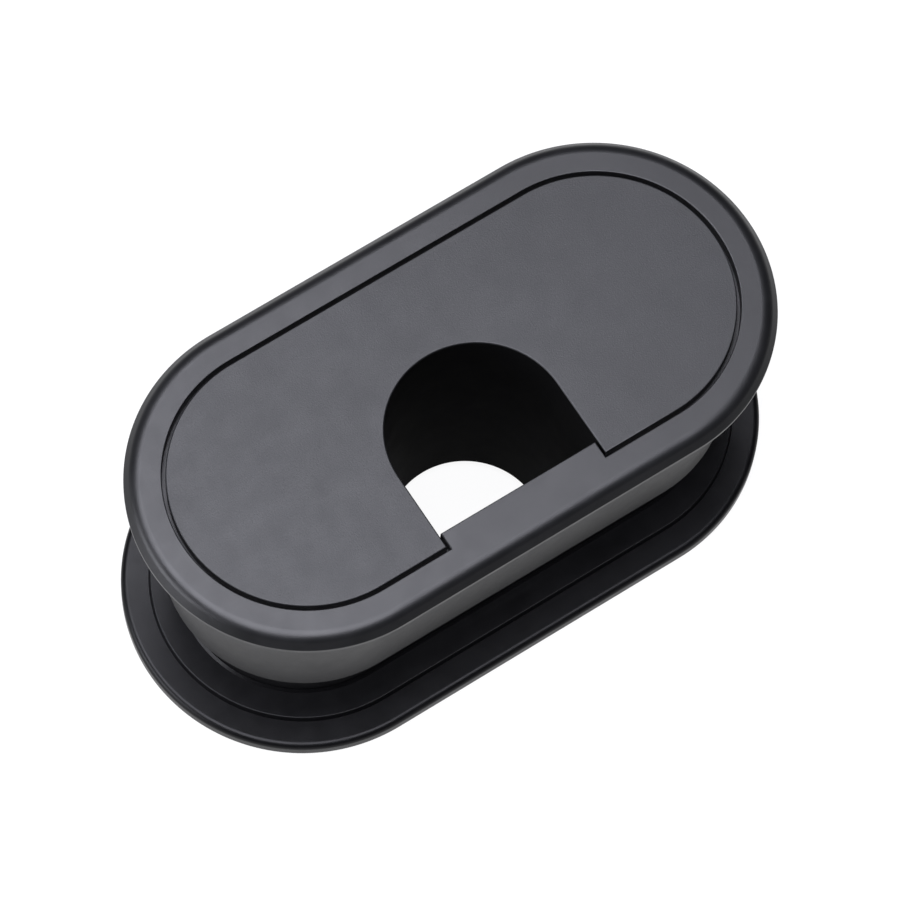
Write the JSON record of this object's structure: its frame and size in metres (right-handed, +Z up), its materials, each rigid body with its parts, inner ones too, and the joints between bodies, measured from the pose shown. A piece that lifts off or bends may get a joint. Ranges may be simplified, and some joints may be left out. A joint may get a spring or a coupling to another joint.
{
  "type": "desk grommet",
  "caption": "Oblong desk cable grommet: flanged sleeve with a lift-out notched cover and cable chute, clamped by a telescoping flanged lower sleeve.",
  "frame": {"origin": "centre of the lower flange's underside, the face that the grommet stands on", "axes": "+Z up out of the desk, X along the oblong, -Y towards the cable notch"},
  "size_m": [0.1036, 0.0538, 0.045],
  "materials": {
    "satin_ring": "satin charcoal injection moulding",
    "textured_cover": "finely textured charcoal injection moulding",
    "satin_base": "satin black injection moulding"
  },
  "bodies": {
    "upper_sleeve": {"upper_sleeve": "satin_ring"},
    "cover": {"cover": "textured_cover"},
    "lower_sleeve": {"lower_sleeve": "satin_base"}
  },
  "joints": [
    {"name": "cover_lift", "type": "slide", "parent": "upper_sleeve", "child": "cover", "axis": [0, 0, 1], "range_m": [0, 0.045]},
    {"name": "grip_slide", "type": "slide", "parent": "upper_sleeve", "child": "lower_sleeve", "axis": [0, 0, 1], "range_m": [0, 0.0095]}
  ]
}
